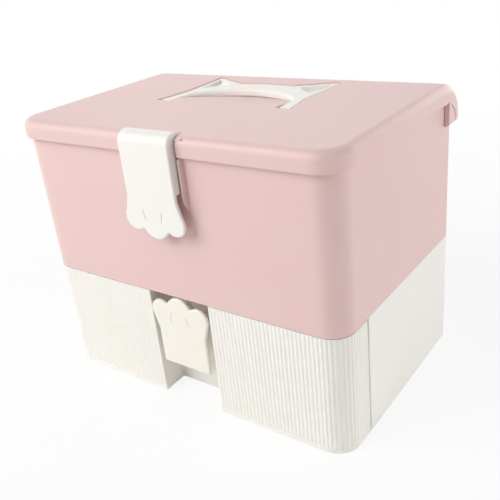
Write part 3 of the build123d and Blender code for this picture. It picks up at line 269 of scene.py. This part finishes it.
# Screws. Cold-headed steel with a low round head, a cross recess and a rolled thread, zinc plated.
# Six hold the trunk to the housing, four the tray plates to the lid, two the pull to the drawer.
HEAD_RADIUS = 3.2 * MM
HEAD_HEIGHT = 2.0 * MM
HEAD_ROUND = 1.2 * MM
HEAD_ROUND_STEPS = 5
HEAD_SIDES = 36
RECESS_REACH = 3.6 * MM
RECESS_WIDTH = 0.9 * MM
RECESS_DEPTH = 1.2 * MM
RECESS_TAPER = 0.6
CORE_RADIUS = 1.15 * MM
TIP_CHAMFER = 0.5 * MM
RIDGE_RADIUS = 0.35 * MM
THREAD_PITCH = 1.0 * MM
THREAD_STEPS = 20
SHARP_EDGE = radians(35)


def only(piece):
    """Selects this object alone and makes it the active one."""
    bpy.ops.object.select_all(action="DESELECT")
    piece.select_set(True)
    bpy.context.view_layer.objects.active = piece


def edit_end_face(piece, up):
    """Opens this object in edit mode with its highest or lowest face selected."""
    only(piece)
    ends = sorted(piece.data.polygons, key=lambda face: face.center.z)
    wanted = ends[-1] if up else ends[0]
    for part in (*piece.data.vertices, *piece.data.edges, *piece.data.polygons):
        part.select = False
    wanted.select = True
    bpy.ops.object.mode_set(mode="EDIT")
    bpy.ops.mesh.select_mode(type="FACE")


def cut_recess_bar(blank, length, width):
    """Cuts one bar of the cross recess into the head, narrower at its bottom."""
    bpy.ops.object.select_all(action="DESELECT")
    bpy.ops.mesh.primitive_cube_add(size=1.0, location=(0.0, 0.0, HEAD_HEIGHT))
    cutter = bpy.context.object
    cutter.scale = (length, width, 2 * RECESS_DEPTH)
    bpy.ops.object.transform_apply(location=True, rotation=True, scale=True)
    edit_end_face(cutter, up=False)
    taper = (RECESS_TAPER, RECESS_TAPER, 1.0)
    bpy.ops.transform.resize(value=taper, center_override=(0.0, 0.0, 0.0))
    bpy.ops.object.mode_set(mode="OBJECT")
    only(blank)
    cut = blank.modifiers.new("recess", "BOOLEAN")
    cut.operation = "DIFFERENCE"
    cut.object = cutter
    bpy.ops.object.modifier_apply(modifier=cut.name)
    bpy.data.objects.remove(cutter)


def thread_ridge(length):
    """The rolled thread: a three-sided ridge wound down the core. One pitch of the core is left
    plain under the head, and at least one at the tip."""
    bpy.ops.object.select_all(action="DESELECT")
    bpy.ops.mesh.primitive_circle_add(
        vertices=3,
        radius=RIDGE_RADIUS,
        location=(CORE_RADIUS, 0.0, -THREAD_PITCH),
        rotation=(pi / 2, pi / 2, 0.0),
    )
    ridge = bpy.context.object
    bpy.ops.object.transform_apply(location=True, rotation=True, scale=True)
    wind = ridge.modifiers.new("wind", "SCREW")
    wind.screw_offset = -THREAD_PITCH
    wind.iterations = int(length / THREAD_PITCH) - 2
    wind.steps = wind.render_steps = THREAD_STEPS
    bpy.ops.object.modifier_apply(modifier=wind.name)
    bpy.ops.object.mode_set(mode="EDIT")
    bpy.ops.mesh.select_all(action="SELECT")
    bpy.ops.mesh.fill_holes(sides=0)
    bpy.ops.mesh.select_all(action="SELECT")
    bpy.ops.mesh.normals_make_consistent(inside=False)
    bpy.ops.object.mode_set(mode="OBJECT")
    return ridge


def screw(length):
    """One screw, head up, the underside of its head at the origin."""
    bpy.ops.object.select_all(action="DESELECT")
    bpy.ops.mesh.primitive_cylinder_add(
        vertices=HEAD_SIDES,
        radius=HEAD_RADIUS,
        depth=HEAD_HEIGHT,
        location=(0.0, 0.0, HEAD_HEIGHT / 2),
    )
    blank = bpy.context.object
    bpy.ops.object.transform_apply(location=True, rotation=True, scale=True)
    edit_end_face(blank, up=True)
    bpy.ops.mesh.bevel(offset=HEAD_ROUND, segments=HEAD_ROUND_STEPS, affect="EDGES")
    bpy.ops.object.mode_set(mode="OBJECT")
    edit_end_face(blank, up=False)
    bpy.ops.mesh.inset(thickness=HEAD_RADIUS - CORE_RADIUS)
    bpy.ops.mesh.extrude_region_move(TRANSFORM_OT_translate={"value": (0.0, 0.0, -length)})
    bpy.ops.mesh.bevel(offset=TIP_CHAMFER, segments=1, affect="EDGES")
    bpy.ops.object.mode_set(mode="OBJECT")
    cut_recess_bar(blank, RECESS_REACH, RECESS_WIDTH)
    cut_recess_bar(blank, RECESS_WIDTH, RECESS_REACH)
    ridge = thread_ridge(length)
    only(blank)
    ridge.select_set(True)
    bpy.ops.object.join()
    bpy.ops.object.shade_smooth_by_angle(angle=SHARP_EDGE)
    return blank


def fasten(name, node, body, length, places, turn):
    """Copies of one screw at these places, joined as the piece that stands for a CAD node."""
    first = screw(length)
    copies = [first]
    for _ in places[1:]:
        copy = first.copy()
        copy.data = first.data.copy()
        bpy.context.scene.collection.objects.link(copy)
        copies.append(copy)
    bpy.ops.object.select_all(action="DESELECT")
    for copy, place in zip(copies, places):
        copy.location = place
        copy.rotation_euler = turn
        copy.select_set(True)
    bpy.context.view_layer.objects.active = first
    bpy.ops.object.transform_apply(location=True, rotation=True, scale=True)
    bpy.ops.object.join()
    first.name = name
    first.data.materials.append(steel)
    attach(first, body)
    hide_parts(node)


# The trunk's screws are driven down through its floor, two at each side and two along the front.
SIDE_FRONT_Y = -53.1 * MM  # the foremost screw at each side
FRONT_X = 80.0 * MM  # the front two, left and right of the middle
low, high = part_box("case_screws")
side_x = high[0] - HEAD_RADIUS
side_back_y = high[1] - HEAD_RADIUS
front_y = low[1] + HEAD_RADIUS
trunk_floor = high[2] - HEAD_HEIGHT
spots = [(side_x, SIDE_FRONT_Y), (side_x, side_back_y), (FRONT_X, front_y)]
fasten(
    "trunk_screws",
    node="case_screws",
    body="case",
    length=trunk_floor - low[2],
    places=[(side * x, y, trunk_floor) for x, y in spots for side in (-1, 1)],
    turn=(0.0, 0.0, 0.0),
)

# The tray plates' screws are driven up into the lid, two at each side.
low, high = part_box("link_screws")
plate_x = high[0] - HEAD_RADIUS
plate_rows = [low[1] + HEAD_RADIUS, high[1] - HEAD_RADIUS]
plate_z = low[2] + HEAD_HEIGHT
fasten(
    "tray_plate_screws",
    node="link_screws",
    body="lid",
    length=high[2] - plate_z,
    places=[(side * plate_x, y, plate_z) for y in plate_rows for side in (-1, 1)],
    turn=(pi, 0.0, 0.0),
)

# The pull's screws are driven forward from inside the drawer, side by side.
low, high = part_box("pull_screws")
pull_x = high[0] - HEAD_RADIUS
recess_back = high[1] - HEAD_HEIGHT
pull_z = (low[2] + high[2]) / 2
fasten(
    "drawer_pull_screws",
    node="pull_screws",
    body="drawer",
    length=recess_back - low[1],
    places=[(side * pull_x, recess_back, pull_z) for side in (-1, 1)],
    turn=(-pi / 2, 0.0, 0.0),
)


# Floor. A sweep of white paper far wider than the view, with a faint fibre. The camera sees it
# nearly white, and it keeps the soft shadow under the case.
FLOOR_RADIUS = 8.0
FLOOR_SIDES = 96
FIBRE_WIDTH = 4 * MM
bpy.ops.object.select_all(action="DESELECT")
bpy.ops.mesh.primitive_circle_add(vertices=FLOOR_SIDES, radius=FLOOR_RADIUS, fill_type="NGON")
floor = bpy.context.object
floor.name = "floor"
floor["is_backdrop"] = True
paper, tree = new_material("white_paper")
place = add(tree, "TexCoord").outputs["Object"]
fibre = add(tree, "TexNoise", {"Scale": 1 / FIBRE_WIDTH, "Detail": 3.0}, Vector=place)
pulp = {"data_type": "RGBA", 6: linear("#fdfdfd"), 7: linear("#fafafa")}
paper_colour = add(tree, "Mix", pulp, n0=fibre.outputs["Fac"]).outputs[2]
diffuse = add(tree, "BsdfDiffuse", Color=paper_colour)
white = add(tree, "Emission", {"Color": linear("#ffffff"), "Strength": 1.0})
rays = add(tree, "LightPath").outputs
either = {"operation": "MAXIMUM"}
seen = add(tree, "Math", either, n0=rays["Is Camera Ray"], n1=rays["Is Glossy Ray"]).outputs[0]
# The shadow shows in full up to 0.3 m from the middle, and from 1 m the sweep is pure white.
whiter = {"From Min": 0.3, "From Max": 1.0, "To Min": 0.85, "To Max": 1.0}
far = add(tree, "VectorMath", {"operation": "LENGTH"}, n0=place).outputs["Value"]
share = add(tree, "MapRange", whiter, Value=far).outputs["Result"]
lit = add(tree, "Math", {"operation": "MULTIPLY"}, n0=seen, n1=share).outputs[0]
surface = add(tree, "MixShader", n0=lit, n1=diffuse.outputs[0], n2=white.outputs[0])
add(tree, "OutputMaterial", Surface=surface.outputs[0])
floor.data.materials.append(paper)


# Room. A white studio: dim even light from all round, and plain white wherever the camera looks
# past the floor, or a reflection or clear plastic does.
AMBIENT = 0.28
world = bpy.data.worlds.new("studio")
bpy.context.scene.world = world
world.use_nodes = True
tree = world.node_tree
tree.nodes.clear()
rays = add(tree, "LightPath").outputs
seen = add(tree, "Math", either, n0=rays["Is Camera Ray"], n1=rays["Is Glossy Ray"]).outputs[0]
seen = add(tree, "Math", either, n0=seen, n1=rays["Is Transmission Ray"]).outputs[0]
dim = add(tree, "Background", {"Color": linear("#ffffff"), "Strength": AMBIENT})
bright = add(tree, "Background", {"Color": linear("#ffffff"), "Strength": 1.0})
background = add(tree, "MixShader", n0=seen, n1=dim.outputs[0], n2=bright.outputs[0])
add(tree, "OutputWorld", Surface=background.outputs[0])


# Lamps. Four square soft boxes. The large key at the front left and the low one at the right keep
# the front and the right side bright, and the rounded corner between them falls darker. One behind
# lights the back, and a weak one behind left puts a soft sheen on the lid.
def soft_box(name, azimuth, elevation, distance, size, power):
    """A square area lamp that faces the case, its azimuth turned from the front to the right."""
    lamp = bpy.data.lights.new(name, "AREA")
    lamp.shape = "SQUARE"
    lamp.size = size
    lamp.energy = power
    holder = bpy.data.objects.new(name, lamp)
    bpy.context.scene.collection.objects.link(holder)
    a, e = radians(azimuth), radians(elevation)
    away = Vector((sin(a) * cos(e), -cos(a) * cos(e), sin(e)))
    middle = (cad_low + cad_high) / 2
    aim = (-away).to_track_quat("-Z", "Y").to_matrix().to_4x4()
    holder.matrix_world = Matrix.Translation(middle + away * distance) @ aim


soft_box("key_box", azimuth=-35, elevation=37, distance=2.0, size=1.5, power=29.8)
soft_box("side_box", azimuth=106, elevation=4, distance=2.2, size=1.1, power=19.5)
soft_box("back_box", azimuth=165, elevation=12, distance=2.2, size=1.2, power=12.0)
soft_box("lid_box", azimuth=-145, elevation=40, distance=2.2, size=1.4, power=6.0)


# Camera. A 48 mm lens on a full-size sensor, held to the right of the case, above it and turned a
# little, as the photograph was taken.
CAMERA_PLACE = Vector((0.3609, -0.4597, 0.3850))
CAMERA_YAW = radians(37.81)
CAMERA_PITCH = radians(25.32)
CAMERA_ROLL = radians(-6.27)
SENSOR_WIDTH = 36.0
LENS = 48.13
NEAREST = 10 * MM
camera = bpy.data.objects.new("camera", bpy.data.cameras.new("camera"))
bpy.context.scene.collection.objects.link(camera)
camera.data.sensor_width = SENSOR_WIDTH
camera.data.lens = LENS
camera.data.clip_start = NEAREST
turned = Matrix.Rotation(CAMERA_YAW, 4, "Z") @ Matrix.Rotation(pi / 2 - CAMERA_PITCH, 4, "X")
roll = Matrix.Rotation(CAMERA_ROLL, 4, "Z")
camera.matrix_world = Matrix.Translation(CAMERA_PLACE) @ turned @ roll
bpy.context.scene.camera = camera
bpy.context.scene.view_settings.view_transform = "Standard"

low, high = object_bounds()
